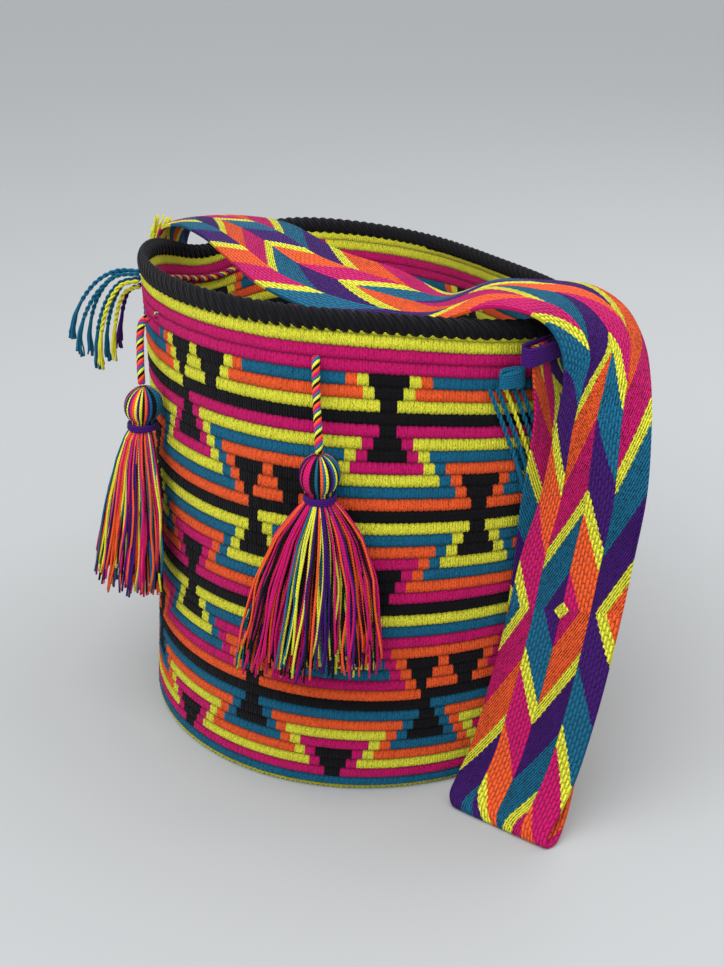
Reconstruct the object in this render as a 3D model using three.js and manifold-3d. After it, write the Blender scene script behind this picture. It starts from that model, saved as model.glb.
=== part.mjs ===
// A crocheted drawstring shoulder bag standing on its round base, open at the mouth, with its woven
// strap folded beside it. Millimetres, +Z up, origin at the centre of the base, front towards -Y.
import * as THREE from 'three';
import { mergeVertices } from 'three/addons/utils/BufferGeometryUtils.js';
import Module from 'manifold-3d';

const wasm = await Module();
wasm.setup();

// ---- driving dimensions -------------------------------------------------------------------------
const baseRadius = 143;
const wallHeight = 263.1;
const footHeight = 2.1;
const wallThickness = 4;
const turnSegments = 48;

// The mouth leans back and is drawn into an oval; these describe how the straight tube becomes it.
const mouthDepth = 146.5; // half of the mouth's long way
const mouthWidth = 116.7; // half of the mouth's short way
const mouthTurn = -1.465; // direction of the long way, radians
const mouthShift = new THREE.Vector2(-25.7, 48.9);
const mouthSlope = -0.07;
const bellyPull = 1.8;
const bellyShift = new THREE.Vector2(4.8, -6.8);
const leanPower = 1.608;
const cornerPull = { amount: 0.462, at: -0.517, spread: 0.55 }; // the strap pulls this side outward
const rimDip = { amount: 14.9, at: 2.396, spread: 0.38 }; // the strap presses this side down

const edging = { height: 11.8, thickness: 8.6, gap: 0.4, sides: 10 };
const drawstring = { diameter: 4.4, level: 252, inset: 7.6, outset: 3.4, end: 1.4, sides: 8, turns: 72 };
const eyelet = { clearance: 1, reach: 2, leftAngle: -150, middleAngle: -93 };
const rearRun = { middle: 57, halfTurn: 68, passing: 9 }; // degrees over which the cord lies outside

const strap = { thickness: 3, across: 6, stepsPerStation: 3 };
const tassel = { headRadius: 11.5, neckRadius: 6.6, sides: 16 };
const tie = { tube: 1.9, sides: 8, turns: 20, gap: 0.4 };
const tailDiameter = 5;
const fringeDiameter = 3;
const leftFringeDiameter = 3.2;
const cordSides = 8;

const colour = {
  black: '#141216',
  lime: '#c9d94a',
  magenta: '#c01a6a',
  teal: '#125c80',
  orange: '#f5552a',
  purple: '#34105e',
};
const yarnRoughness = 0.92;

// ---- helpers ------------------------------------------------------------------------------------
const degrees = Math.PI / 180;
const bag = new THREE.Group();

function wrap(angle) {
  return Math.atan2(Math.sin(angle), Math.cos(angle));
}

function around(angle, place) {
  return Math.exp(-((wrap(angle - place.at) / place.spread) ** 2));
}

// Takes a point of the straight round tube to its place on the leaning, oval-mouthed bag.
function lean(point) {
  const angle = Math.atan2(point.y, point.x);
  const share = Math.hypot(point.x, point.y) / baseRadius;
  const up = Math.max(0, (point.z - footHeight) / wallHeight);
  const rise = up ** leanPower;
  const belly = 4 * up * Math.max(0, 1 - up);
  const pull = 1 + cornerPull.amount * rise * around(angle, cornerPull);
  const longWay = baseRadius + (mouthDepth - baseRadius) * rise - bellyPull * belly;
  const shortWay = baseRadius + (mouthWidth - baseRadius) * rise - bellyPull * belly;
  const along = share * longWay * Math.cos(angle - mouthTurn) * pull;
  const beside = share * shortWay * Math.sin(angle - mouthTurn) * pull;
  const x = along * Math.cos(mouthTurn) - beside * Math.sin(mouthTurn);
  const y = along * Math.sin(mouthTurn) + beside * Math.cos(mouthTurn);
  const drop = rimDip.amount * up ** 3 * around(angle, rimDip);
  return new THREE.Vector3(
    x + mouthShift.x * rise + bellyShift.x * belly,
    y + mouthShift.y * rise + bellyShift.y * belly,
    point.z + mouthSlope * rise * (x + y) - drop,
  );
}

// The same, from an angle in degrees, a radius and a height on the straight tube.
function onBag(angle, radius, height) {
  const turn = angle * degrees;
  return lean(new THREE.Vector3(radius * Math.cos(turn), radius * Math.sin(turn), height));
}

function moveVertices(geometry, place) {
  const position = geometry.attributes.position;
  const point = new THREE.Vector3();
  for (let i = 0; i < position.count; i += 1) {
    point.fromBufferAttribute(position, i);
    const moved = place(point);
    position.setXYZ(i, moved.x, moved.y, moved.z);
  }
  return geometry;
}

function bare(geometry) {
  geometry.deleteAttribute('normal');
  geometry.deleteAttribute('uv');
  return mergeVertices(geometry, 1e-4);
}

function solidOf(geometry) {
  const merged = bare(geometry);
  return new wasm.Manifold(new wasm.Mesh({
    numProp: 3,
    vertProperties: new Float32Array(merged.attributes.position.array),
    triVerts: new Uint32Array(merged.index.array),
  }));
}

function geometryOf(solid) {
  const mesh = solid.getMesh();
  const geometry = new THREE.BufferGeometry();
  geometry.setAttribute('position', new THREE.BufferAttribute(mesh.vertProperties, 3));
  geometry.setIndex(new THREE.BufferAttribute(mesh.triVerts, 1));
  return geometry;
}

function addPiece(name, geometry, tint) {
  const material = new THREE.MeshStandardMaterial({ color: tint, roughness: yarnRoughness, metalness: 0 });
  const mesh = new THREE.Mesh(geometry, material);
  mesh.name = name;
  bag.add(mesh);
}

// A solid of revolution about Z from [radius, height] pairs.
function turned(pairs, segments) {
  const profile = pairs.map(([radius, height]) => new THREE.Vector2(radius, height));
  return new THREE.LatheGeometry(profile, segments).rotateX(Math.PI / 2);
}

// [radius, height] pairs of a closed rounded section.
function roundSection(radius, height, halfWide, halfTall, sides) {
  const pairs = [];
  for (let i = 0; i <= sides; i += 1) {
    const turn = (i % sides) * 2 * Math.PI / sides;
    pairs.push([radius + halfWide * Math.cos(turn), height + halfTall * Math.sin(turn)]);
  }
  return pairs;
}

// A round cord along a smooth curve through hand-placed points.
function cord(points, diameter, steps) {
  const section = new THREE.Shape();
  for (let i = 0; i < cordSides; i += 1) {
    const turn = i * 2 * Math.PI / cordSides;
    const x = diameter / 2 * Math.cos(turn);
    const y = diameter / 2 * Math.sin(turn);
    if (i === 0) section.moveTo(x, y);
    else section.lineTo(x, y);
  }
  section.closePath();
  const extrudePath = new THREE.CatmullRomCurve3(points);
  return new THREE.ExtrudeGeometry(section, { steps, extrudePath, bevelEnabled: false });
}

function point(coordinates) {
  return new THREE.Vector3(...coordinates);
}

// A short rod pointing straight out of the wall of the straight tube.
function radialRod(angle, diameter, from, to) {
  const sides = 12;
  return new THREE.CylinderGeometry(diameter / 2, diameter / 2, to - from, sides)
    .rotateZ(-Math.PI / 2)
    .translate((from + to) / 2, 0, drawstring.level)
    .rotateZ(angle * degrees);
}

// ---- drawstring ---------------------------------------------------------------------------------
// The cord runs inside the front of the mouth, passes out through the wall for the rear, and both
// its ends come out through eyelets at the front.
function runRadius(angle) {
  const away = Math.abs(wrap(angle - rearRun.middle * degrees)) / degrees;
  const share = THREE.MathUtils.smoothstep(rearRun.halfTurn - away, -rearRun.passing, rearRun.passing);
  return baseRadius + THREE.MathUtils.lerp(-drawstring.inset, drawstring.outset, share);
}

function drawstringSolid(diameter, reach) {
  const section = roundSection(baseRadius, drawstring.level, diameter / 2, diameter / 2, drawstring.sides);
  const ring = moveVertices(turned(section, drawstring.turns), (vertex) => {
    const angle = Math.atan2(vertex.y, vertex.x);
    const radius = Math.hypot(vertex.x, vertex.y) - baseRadius + runRadius(angle);
    return new THREE.Vector3(radius * Math.cos(angle), radius * Math.sin(angle), vertex.z);
  });
  let solid = solidOf(ring);
  for (const angle of [eyelet.leftAngle, eyelet.middleAngle]) {
    const stub = radialRod(angle, diameter, runRadius(angle * degrees), baseRadius + drawstring.end + reach);
    solid = solid.add(solidOf(stub));
  }
  return solid;
}
const drawstringRing = geometryOf(drawstringSolid(drawstring.diameter, 0));
addPiece('drawstring', moveVertices(drawstringRing, lean), colour.orange);

// ---- body ---------------------------------------------------------------------------------------
// One crocheted piece: a flat spiral base that turns up into the wall, pierced where the
// drawstring passes.
function bodyGeometry() {
  const top = footHeight + wallHeight;
  const inside = baseRadius - wallThickness;
  const rows = 10;
  const pairs = [[0, 0], [baseRadius - 4, 0], [baseRadius - 0.9, 1.3]];
  for (let i = 0; i <= rows; i += 1) {
    pairs.push([baseRadius, footHeight + 2 + (wallHeight - 2) * i / rows]);
  }
  for (let i = rows; i >= 0; i -= 1) {
    pairs.push([inside, wallThickness + 3 + (top - wallThickness - 3) * i / rows]);
  }
  pairs.push([inside - 3, wallThickness], [0, wallThickness]);
  const wall = solidOf(turned(pairs, turnSegments));
  const holes = drawstringSolid(drawstring.diameter + eyelet.clearance, eyelet.reach);
  return moveVertices(geometryOf(wall.subtract(holes)), lean);
}
addPiece('bag_body', bodyGeometry(), colour.magenta);

// The puffy stitched band that finishes the mouth.
const edgingMiddle = footHeight + wallHeight + edging.gap + edging.height / 2;
const edgingSection = roundSection(
  baseRadius - wallThickness / 2 + 0.3,
  edgingMiddle,
  edging.thickness / 2,
  edging.height / 2,
  edging.sides,
);
addPiece('mouth_edging', moveVertices(turned(edgingSection, turnSegments), lean), colour.black);

// ---- tails and tassels --------------------------------------------------------------------------
// A tail hangs from each eyelet and carries a yarn tassel: head, skirt and a tie round the neck.
// Each row of a skirt is its half width, the share of the length still below it and its half depth.
const tassels = [
  {
    side: 'left',
    tail: [[-129.3, -31.2, 262.5], [-132.2, -32.6, 260.5], [-133.6, -35.2, 254], [-133.5, -40.4, 245],
      [-132.9, -47.2, 238], [-132.6, -49.9, 232.8], [-132.6, -50.4, 228.2]],
    head: [-132.6, -50.4, 214.6],
    foot: [-144.5, -58.2, 101],
    out: [-0.84, -0.54],
    skirt: [[9, 0.93, 11], [15, 0.8, 13], [20, 0.55, 13.5], [24, 0.25, 13.5], [25.5, 0, 12]],
  },
  {
    side: 'middle',
    tail: [[-26.2, -106.1, 262.6], [-26.3, -108.9, 260.2], [-26.3, -112.2, 252.5], [-26, -119, 239.5],
      [-25.2, -128.2, 227.6], [-25, -131.6, 221.6], [-25, -132.2, 217.2]],
    head: [-25, -132.2, 203.9],
    foot: [-25, -153.4, 90],
    out: [0, -1],
    skirt: [[10, 0.93, 10], [21, 0.8, 11.5], [31, 0.55, 11.5], [38, 0.25, 10], [41, 0, 8.5]],
  },
];

// Places a point of a straight-hanging tassel (x sideways, y outward, z along) on its slanted line.
function hang(set, distanceAlong, sideways, outward) {
  const head = point(set.head);
  const foot = point(set.foot);
  const length = head.z - foot.z;
  const middle = head.clone().lerp(foot, distanceAlong / length);
  const [outX, outY] = set.out;
  return new THREE.Vector3(
    middle.x + outY * sideways + outX * outward,
    middle.y - outX * sideways + outY * outward,
    middle.z,
  );
}

function tasselGeometry(set) {
  const length = set.head[2] - set.foot[2];
  const neck = tassel.headRadius + 1.2;
  const widths = [];
  const depths = [];
  const levels = [];
  const headRings = 6;
  for (let i = 0; i <= headRings; i += 1) {
    const turn = Math.PI * 0.8 * i / headRings;
    levels.push(-tassel.headRadius * Math.cos(turn));
    widths.push(tassel.headRadius * Math.sin(turn));
    depths.push(tassel.headRadius * Math.sin(turn));
  }
  for (const level of [neck - 2.2, neck + 2.2]) {
    levels.push(level);
    widths.push(tassel.neckRadius);
    depths.push(tassel.neckRadius);
  }
  for (const [width, left, depth] of set.skirt) {
    levels.push(neck + 3 + (length - neck - 3) * (1 - left));
    widths.push(width);
    depths.push(depth);
  }
  levels.push(length);
  widths.push(0);
  depths.push(0);
  const pairs = levels.map((level, i) => [widths[i], -level]);
  pairs.reverse();
  const geometry = turned(pairs, tassel.sides);
  return moveVertices(geometry, (vertex) => {
    const level = levels.findIndex((value) => Math.abs(value + vertex.z) < 1e-3);
    const flatness = widths[level] > 0 ? depths[level] / widths[level] : 1;
    return hang(set, -vertex.z, vertex.x, vertex.y * flatness);
  });
}

function tieGeometry(set) {
  const radius = tassel.neckRadius + tie.gap + tie.tube;
  const level = -(tassel.headRadius + 1.2);
  const section = roundSection(radius, level, tie.tube, tie.tube, tie.sides);
  const ring = turned(section, tie.turns);
  return moveVertices(ring, (vertex) => hang(set, -vertex.z, vertex.x, vertex.y));
}

for (const set of tassels) {
  const tailSteps = 12;
  addPiece(`tail_${set.side}`, cord(set.tail.map(point), tailDiameter, tailSteps), colour.magenta);
  addPiece(`tassel_${set.side}`, tasselGeometry(set), colour.orange);
  addPiece(`tassel_tie_${set.side}`, tieGeometry(set), colour.purple);
}

// ---- strap --------------------------------------------------------------------------------------
// The woven strap as pairs of edge points, from its end outside the rear left of the rim, over the
// mouth and the right of the rim, down to its fold on the ground and back up to its other end.
// The last number is how far the middle bows out of the flat.
const strapStations = [
  [-144, 138, 243, -130, 162, 243, 0], [-146, 133, 258, -128, 163.5, 258, 0],
  [-141, 122, 277, -121, 158, 272, 2], [-126, 100, 286, -101, 148, 279, 2],
  [-106, 64, 288, -76, 112, 288, 2], [-85, 14, 287, -45, 60, 295, 1],
  [-56, -44, 283, -12, 4, 292, 1], [-12, -84, 278, 22, -24, 288, 1],
  [33, -88, 275, 52, -22, 273, 2], [68, -104, 290, 80, -40, 286, 3],
  [89, -114, 289, 106, -45, 287, 3], [101, -112, 280, 133, -50, 285, 4],
  [108, -114, 266, 149, -66, 278, 7], [109, -116, 252, 157, -88, 265, 11],
  [107, -118, 236, 157, -115, 252, 13], [104, -119, 215, 154, -140, 233, 9],
  [99, -120, 183, 150, -160, 203, 4], [89, -125, 150, 145, -165, 168, 2],
  [81, -131, 110, 137, -176, 129, 1], [71, -137, 66, 128, -183, 84, 1],
  [61, -143, 30, 117, -187, 38, 1], [53, -149, 14, 108, -193, 18, 0],
  [48.5, -156, 6.4, 102, -197.5, 8, 0], [50, -160.5, 1.9, 101, -200, 2.1, 0],
  [55.5, -157.5, 2.1, 106, -197.5, 2.3, 0], [61.5, -149, 10, 112, -190, 12, 0],
  [69, -137, 38, 120, -178, 44, 0], [79, -127, 80, 130, -161, 86, 0],
  [83, -123, 120, 140, -139, 126, 0], [86, -120, 150, 147, -117, 156, 0],
  [88, -118, 176, 151, -101, 181, 0], [92, -115, 205, 147, -89, 210, 1],
  [94.5, -113.5, 230, 131, -84, 234, 2], [93, -111, 254, 112, -93.5, 256, 0],
  [92, -109.5, 269, 109, -92.5, 270, 0],
];

function strapGeometry() {
  const edgeA = new THREE.CatmullRomCurve3(strapStations.map(([x, y, z]) => new THREE.Vector3(x, y, z)));
  const edgeB = new THREE.CatmullRomCurve3(strapStations.map((s) => new THREE.Vector3(s[3], s[4], s[5])));
  const spans = strapStations.length - 1;
  const steps = spans * strap.stepsPerStation;
  const middle = (t) => edgeA.getPoint(t).lerp(edgeB.getPoint(t), 0.5);
  const box = new THREE.BoxGeometry(1, steps, strap.thickness, strap.across, steps, 1);
  return moveVertices(box, (vertex) => {
    const t = vertex.y / steps + 0.5;
    const near = 0.25 / steps;
    const forward = middle(Math.min(1, t + near)).sub(middle(Math.max(0, t - near))).normalize();
    const from = edgeA.getPoint(t);
    const side = edgeB.getPoint(t).sub(from);
    const under = side.clone().cross(forward).normalize();
    const span = Math.min(spans - 1, Math.floor(t * spans));
    const part = t * spans - span;
    const bow = THREE.MathUtils.lerp(strapStations[span][6], strapStations[span + 1][6], part);
    const across = vertex.x + 0.5;
    const drop = vertex.z - bow * (1 - (2 * vertex.x) ** 2);
    return from.addScaledVector(side, across).addScaledVector(under, drop);
  });
}
addPiece('strap', strapGeometry(), colour.lime);

// Yarn bound round each gathered strap end, a slotted collar through which the strap passes.
function collarGeometry(width, thickness, height, slotWidth, slotThickness) {
  const outline = new THREE.Shape();
  const corner = thickness * 0.35;
  const halfWide = width / 2;
  const halfThick = thickness / 2;
  const corners = [
    [halfWide, halfThick], [-halfWide, halfThick], [-halfWide, -halfThick], [halfWide, -halfThick],
  ];
  corners.forEach(([x, y], i) => {
    const [nextX, nextY] = corners[(i + 1) % corners.length];
    const length = Math.hypot(nextX - x, nextY - y);
    const stepX = (nextX - x) / length * corner;
    const stepY = (nextY - y) / length * corner;
    if (i === 0) outline.moveTo(x + stepX, y + stepY);
    else outline.lineTo(x + stepX, y + stepY);
    outline.lineTo(nextX - stepX, nextY - stepY);
  });
  outline.closePath();
  const slot = new THREE.Path();
  slot.moveTo(-slotWidth / 2, -slotThickness / 2);
  slot.lineTo(-slotWidth / 2, slotThickness / 2);
  slot.lineTo(slotWidth / 2, slotThickness / 2);
  slot.lineTo(slotWidth / 2, -slotThickness / 2);
  slot.closePath();
  outline.holes.push(slot);
  return new THREE.ExtrudeGeometry(outline, { depth: height, steps: 1, bevelEnabled: false });
}

const collars = [
  { side: 'left', at: [-137.3, 149.6, 240.5], turn: 59.7, size: [43, 10.6, 10, 35, 5] },
  { side: 'right', at: [101, -101.4, 258], turn: 44, size: [39, 9.6, 13, 32.6, 6] },
];
for (const collar of collars) {
  const geometry = collarGeometry(...collar.size).rotateZ(collar.turn * degrees);
  geometry.translate(...collar.at);
  addPiece(`strap_binding_${collar.side}`, geometry, colour.purple);
}

// ---- fringes ------------------------------------------------------------------------------------
// A wrapped bundle beside each strap end, from which loose twisted cords hang.
function wrapGeometry(angle, radius, level, size) {
  const [tangent, depth, height] = size;
  const box = new THREE.CylinderGeometry(1, 1, height, 12, 1).rotateX(Math.PI / 2);
  const centre = onBag(angle, radius, level);
  const out = onBag(angle, radius + 5, level).sub(centre);
  const turn = Math.atan2(out.y, out.x);
  return box.scale(depth / 2, tangent / 2, 1).rotateZ(turn).translate(centre.x, centre.y, centre.z);
}

const wraps = [
  { side: 'right', angle: -50.2, radius: 148.8, level: 247.4, size: [18, 8.6, 12] },
  { side: 'left', angle: 163, radius: 151.6, level: 246, size: [20, 10, 14] },
];
for (const { side, angle, radius, level, size } of wraps) {
  addPiece(`fringe_wrap_${side}`, wrapGeometry(angle, radius, level, size), colour.teal);
}

const rightFringe = {
  count: 5,
  rootAngle: -54.2,
  rootLevel: 240.6,
  tipAngle: -48.4,
  tipLevel: 176,
  tipStagger: 3,
  spread: 1.62,
  gap: 1,
  steps: 14,
};
for (let i = 0; i < rightFringe.count; i += 1) {
  const points = [];
  const pointCount = 6;
  for (let j = 0; j < pointCount; j += 1) {
    const down = j / (pointCount - 1);
    const angle = THREE.MathUtils.lerp(rightFringe.rootAngle, rightFringe.tipAngle, down);
    const tipLevel = rightFringe.tipLevel + rightFringe.tipStagger * (i % 2);
    const level = THREE.MathUtils.lerp(rightFringe.rootLevel, tipLevel, down);
    const radius = baseRadius + fringeDiameter / 2 + rightFringe.gap;
    points.push(onBag(angle + rightFringe.spread * i, radius, level));
  }
  const tint = i === 2 ? colour.lime : colour.teal;
  addPiece(`fringe_right_${i + 1}`, cord(points, fringeDiameter, rightFringe.steps), tint);
}

const leftFringe = [
  [
    [-150.5, 80, 258], [-165, 78, 257.5], [-176, 75, 250],
    [-186, 72, 236], [-192, 70, 219], [-193, 69, 204],
  ],
  [
    [-150.5, 84, 258.6], [-165, 84, 259.5], [-178, 82, 254],
    [-190, 79.5, 241], [-197, 78, 226], [-199, 77, 214],
  ],
  [
    [-150.5, 88, 258], [-164, 88.5, 257.5], [-174, 88, 250],
    [-183, 87, 236], [-188, 86, 218], [-188.5, 85, 199],
  ],
  [
    [-150.5, 77, 254], [-162, 74.5, 252], [-169.5, 71, 243],
    [-175, 68, 229], [-178, 66, 212], [-178, 65, 196],
  ],
  [
    [-150.5, 82, 254], [-163, 80.5, 252.5], [-171.5, 78.5, 244],
    [-178, 76.5, 230], [-182, 75, 213], [-182.5, 74, 193],
  ],
  [
    [-150.5, 87, 253.6], [-161, 87, 251], [-168, 86, 242],
    [-173.5, 84.5, 228], [-176.5, 83, 212], [-177, 82, 196],
  ],
  [
    [-150.5, 79.5, 249.6], [-160, 78.5, 246.5], [-165, 77, 238],
    [-168.4, 75.5, 225], [-170.4, 74, 210], [-170.6, 73, 199],
  ],
  [
    [-150.4, 85, 249.4], [-158.6, 85, 245.5], [-162.8, 84.5, 237],
    [-165.6, 84, 225], [-167.4, 83.4, 214], [-168, 83, 205],
  ],
];
const leftTints = ['teal', 'teal', 'teal', 'lime', 'teal', 'teal', 'lime', 'purple'];
const leftFringeSteps = 16;
leftFringe.forEach((route, i) => {
  const geometry = cord(route.map(point), leftFringeDiameter, leftFringeSteps);
  addPiece(`fringe_left_${i + 1}`, geometry, colour[leftTints[i]]);
});

// The frayed yarn end that stands up beside the left strap end.
const tuft = {
  height: 38,
  topRadius: 6.5,
  footRadius: 2.2,
  sides: 10,
  foot: [-150.8, 137.4, 251.2],
  leanX: -0.16,
  leanY: -0.17,
};
function tuftGeometry() {
  const cone = new THREE.CylinderGeometry(tuft.topRadius, tuft.footRadius, tuft.height, tuft.sides);
  cone.rotateX(Math.PI / 2).translate(0, 0, tuft.height / 2);
  const [x, y, z] = tuft.foot;
  return moveVertices(cone, (vertex) => new THREE.Vector3(
    x + vertex.x + tuft.leanX * vertex.z,
    y + vertex.y + tuft.leanY * vertex.z,
    z + vertex.z,
  ));
}
addPiece('yarn_tuft_left', tuftGeometry(), colour.lime);

export default bag;
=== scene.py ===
import math

import bmesh
import bpy
import numpy as np
from mathutils import Matrix, Vector


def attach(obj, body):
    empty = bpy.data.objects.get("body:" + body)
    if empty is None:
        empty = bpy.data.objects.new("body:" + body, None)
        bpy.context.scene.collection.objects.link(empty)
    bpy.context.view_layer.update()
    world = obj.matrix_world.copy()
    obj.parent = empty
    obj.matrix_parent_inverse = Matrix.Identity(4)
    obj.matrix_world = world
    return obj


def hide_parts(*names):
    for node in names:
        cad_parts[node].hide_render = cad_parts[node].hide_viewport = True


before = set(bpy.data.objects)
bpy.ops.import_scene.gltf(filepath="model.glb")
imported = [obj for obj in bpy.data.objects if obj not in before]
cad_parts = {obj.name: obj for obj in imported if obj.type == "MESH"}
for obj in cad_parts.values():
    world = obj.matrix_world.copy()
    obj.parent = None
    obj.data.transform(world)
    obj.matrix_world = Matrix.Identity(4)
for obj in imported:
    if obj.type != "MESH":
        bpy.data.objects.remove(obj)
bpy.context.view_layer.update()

scene = bpy.context.scene
scene.view_settings.view_transform = "Standard"
dice = np.random.default_rng(11)

# linear colours of the dyed yarns
yarns = {
    "black": (0.004, 0.0035, 0.005),
    "lime": (0.86, 0.84, 0.05),
    "magenta": (0.66, 0.006, 0.15),
    "teal": (0.007, 0.14, 0.26),
    "orange": (1.0, 0.12, 0.025),
    "purple": (0.055, 0.006, 0.16),
}

# camera and light

camera = {
    "place": (0, -0.8352, 0.5191), "tilt": 65.48, "roll": -0.57,
    "lens": 52.12, "sensor": 36, "shift": -0.0031,
}
cameraData = bpy.data.cameras.new("camera")
cameraData.lens = camera["lens"]
cameraData.sensor_width = camera["sensor"]
cameraData.shift_x = camera["shift"]
cameraObject = bpy.data.objects.new("camera", cameraData)
turnDown = Matrix.Rotation(math.radians(camera["tilt"]), 4, "X")
turnRound = Matrix.Rotation(math.radians(camera["roll"]), 4, "Z")
cameraObject.matrix_world = Matrix.Translation(camera["place"]) @ turnDown @ turnRound
scene.collection.objects.link(cameraObject)
scene.camera = cameraObject

light = {
    "sky": (0.93, 0.96, 1.0), "skyStrength": 1.0, "aim": (0, 0, 0.15),
    "panels": [((-0.5, -0.9, 1.7), 1.6, 27), ((0.9, 0.6, 1.5), 1.4, 11)],  # place, size, power
}
world = bpy.data.worlds.new("softSky")
world.use_nodes = True
background = world.node_tree.nodes["Background"]
background.inputs["Color"].default_value = (*light["sky"], 1)
background.inputs["Strength"].default_value = light["skyStrength"]
scene.world = world
for number, (place, size, power) in enumerate(light["panels"]):
    panelData = bpy.data.lights.new(f"panel{number}", "AREA")
    panelData.size = size
    panelData.energy = power
    panel = bpy.data.objects.new(f"panel{number}", panelData)
    panel.location = place
    towards = Vector(light["aim"]) - Vector(place)
    panel.rotation_euler = towards.to_track_quat("-Z", "Y").to_euler()
    scene.collection.objects.link(panel)
print("camera and light ready")

# shader helpers

fullTurn = 6.283  # radians
halfTurn = 3.1416
dye = {
    "uneven": 0.25, "unevenScale": 90.0, "fibre": 0.36, "fibreScale": 1900.0,
    "rough": 0.72, "roughSpread": 0.2, "roughScale": 700.0,
}
cotton = {"Sheen Weight": 0.04, "Sheen Roughness": 0.4, "Specular IOR Level": 0.12}


class Wire:
    # a shader value that works in plain expressions
    def __init__(self, finish, socket):
        self.finish = finish
        self.socket = socket

    def __add__(self, other):
        return self.finish.math("ADD", self, other)

    def __sub__(self, other):
        return self.finish.math("SUBTRACT", self, other)

    def __rsub__(self, other):
        return self.finish.math("SUBTRACT", other, self)

    def __mul__(self, other):
        return self.finish.math("MULTIPLY", self, other)

    def __truediv__(self, other):
        return self.finish.math("DIVIDE", self, other)

    def __gt__(self, other):
        return self.finish.math("GREATER_THAN", self, other)

    def __lt__(self, other):
        return self.finish.math("LESS_THAN", self, other)

    __radd__ = __add__
    __rmul__ = __mul__


class Finish:
    # one material, built up from nodes
    def __init__(self, name, surface):
        self.material = bpy.data.materials.new(name)
        self.material.use_nodes = True
        self.nodes = self.material.node_tree.nodes
        self.links = self.material.node_tree.links
        self.shader = self.nodes["Principled BSDF"]
        for socket, value in surface.items():
            self.shader.inputs[socket].default_value = value

    def feed(self, node, socket, value):
        target = node.inputs[socket]
        if isinstance(value, Wire):
            self.links.new(value.socket, target)
        elif isinstance(value, tuple) and len(value) == 3 and target.type == "RGBA":
            target.default_value = (*value, 1)
        else:
            target.default_value = value

    def node(self, kind, settings, inputs, output=0):
        made = self.nodes.new(kind)
        for name, value in settings.items():
            if name == "stops":
                made.color_ramp.interpolation = "CONSTANT"
                while len(made.color_ramp.elements) < len(value):
                    made.color_ramp.elements.new(0.5)
                for element, (position, tint) in zip(made.color_ramp.elements, value):
                    element.position = position
                    element.color = (*tint, 1)
            else:
                setattr(made, name, value)
        for socket, value in inputs.items():
            self.feed(made, socket, value)
        return Wire(self, made.outputs[output])

    def math(self, operation, *values):
        return self.node("ShaderNodeMath", {"operation": operation}, dict(enumerate(values)))

    def mix(self, factor, first, second, blend="MIX"):
        settings = {"data_type": "RGBA", "blend_type": blend}
        return self.node("ShaderNodeMix", settings, {0: factor, 6: first, 7: second}, 2)

    def part(self, value):
        return self.math("FRACT", value)

    def humps(self, angle):
        # one rounded hump for every half turn
        return self.math("ABSOLUTE", self.math("SINE", angle))

    def noise(self, scale, detail=2.0):
        spot = self.node("ShaderNodeTexCoord", {}, {}, "Object")
        return self.node("ShaderNodeTexNoise", {}, {"Vector": spot, "Scale": scale, "Detail": detail}, 0)

    def along(self):
        # the two values of the piece's own map
        spot = self.node("ShaderNodeTexCoord", {}, {}, "UV")
        split = self.nodes.new("ShaderNodeSeparateXYZ")
        self.feed(split, 0, spot)
        return Wire(self, split.outputs[0]), Wire(self, split.outputs[1])

    def relief(self, layers):
        # each layer is a height from 0 to 1 and how deep it is, in metres
        normal = None
        for height, depth in layers:
            inputs = {"Height": height, "Distance": depth, "Strength": 1.0}
            if normal:
                inputs["Normal"] = normal
            normal = self.node("ShaderNodeBump", {}, inputs)
        self.feed(self.shader, "Normal", normal)

    def paint(self, tint, paintedShade):
        # dyed colour, darkened by painted shade (black where it is 1), with slight unevenness of the dye
        uneven = 1 - dye["uneven"] * 0.5 + dye["uneven"] * self.noise(dye["unevenScale"])
        fibres = 1 - dye["fibre"] * 0.5 + dye["fibre"] * self.noise(dye["fibreScale"])
        level = uneven * fibres * (1 - paintedShade)
        grey = self.node("ShaderNodeCombineColor", {}, {0: level, 1: level, 2: level})
        self.feed(self.shader, "Base Color", self.mix(1.0, tint, grey, "MULTIPLY"))
        rough = dye["rough"] + dye["roughSpread"] * self.noise(dye["roughScale"])
        self.feed(self.shader, "Roughness", rough)

    def yarnTint(self):
        return self.node("ShaderNodeAttribute", {"attribute_name": "yarn"}, {}, "Color")


# legShade, grooveShade and darkest set the painted shade between the legs of each stitch and in the grooves
# between rows
crochetLook = {
    "legSpread": 0.34, "legLean": 0.15, "legSharpness": 5.5, "groovePower": 3.5,
    "twistDown": 3.0, "twistAcross": 5.0, "legShade": 0.2, "grooveShade": 0.5, "darkest": 0.8,
    "legHeight": 0.7, "twistHeight": 0.06, "grooveHeight": 0.8,
    "depth": 0.0011, "fuzzScale": 1300.0, "fuzzDepth": 0.0005,
}


def crochetFinish():
    # two legs of yarn for each stitch, meeting at its foot, in rows one stitch tall
    look = crochetLook
    finish = Finish("crochetYarn", cotton)
    stitch, row = finish.along()
    across = finish.math("ABSOLUTE", finish.part(stitch) - 0.5)
    down = finish.part(row)
    fromLeg = finish.math("ABSOLUTE", across - (look["legSpread"] - look["legLean"] * down))
    leg = finish.math("MAXIMUM", 1 - fromLeg * look["legSharpness"], 0.0)
    twist = finish.math("SINE", (down * look["twistDown"] + across * look["twistAcross"]) * fullTurn)
    edge = finish.math("ABSOLUTE", down - 0.5) * 2
    groove = finish.math("POWER", edge, look["groovePower"])
    # painted shade: darker between the two legs of each stitch and in the grooves between rows
    paintedShade = (1 - leg) * look["legShade"] + groove * look["grooveShade"]
    finish.paint(finish.yarnTint(), finish.math("MINIMUM", paintedShade, look["darkest"]))
    height = leg * look["legHeight"] + twist * look["twistHeight"] - groove * look["grooveHeight"]
    fuzz = finish.noise(look["fuzzScale"])
    finish.relief([(height, look["depth"]), (fuzz, look["fuzzDepth"])])
    return finish.material


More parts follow.
